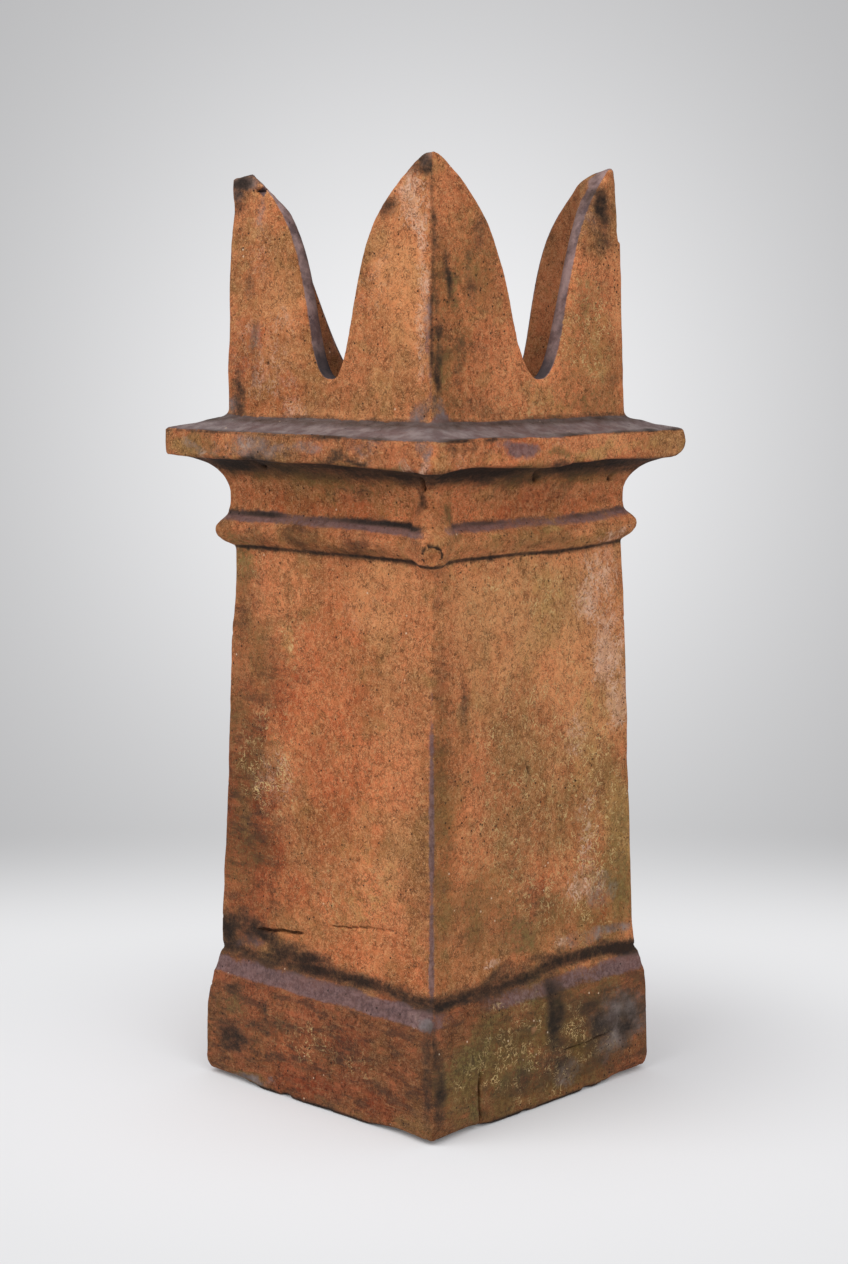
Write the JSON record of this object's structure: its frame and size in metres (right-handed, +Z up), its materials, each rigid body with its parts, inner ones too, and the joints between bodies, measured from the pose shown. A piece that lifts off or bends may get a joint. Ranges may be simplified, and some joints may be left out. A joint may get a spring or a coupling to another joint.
{
  "type": "chimney pot",
  "caption": "Square, tapered, hollow clay pot with a plinth, a bead and flange below the top, and a crown of pointed horns.",
  "frame": {"origin": "centre of the underside", "axes": "+Z up along the flue; the sides face -Y, +X, +Y and -X; the broken horn stands at (-X, -Y)"},
  "size_m": [0.343, 0.343, 0.868],
  "materials": {
    "terracotta": "matt fired clay, sooty and weathered, with algae and salts"
  },
  "bodies": {
    "root": {"chimney_pot": "terracotta"}
  },
  "joints": []
}
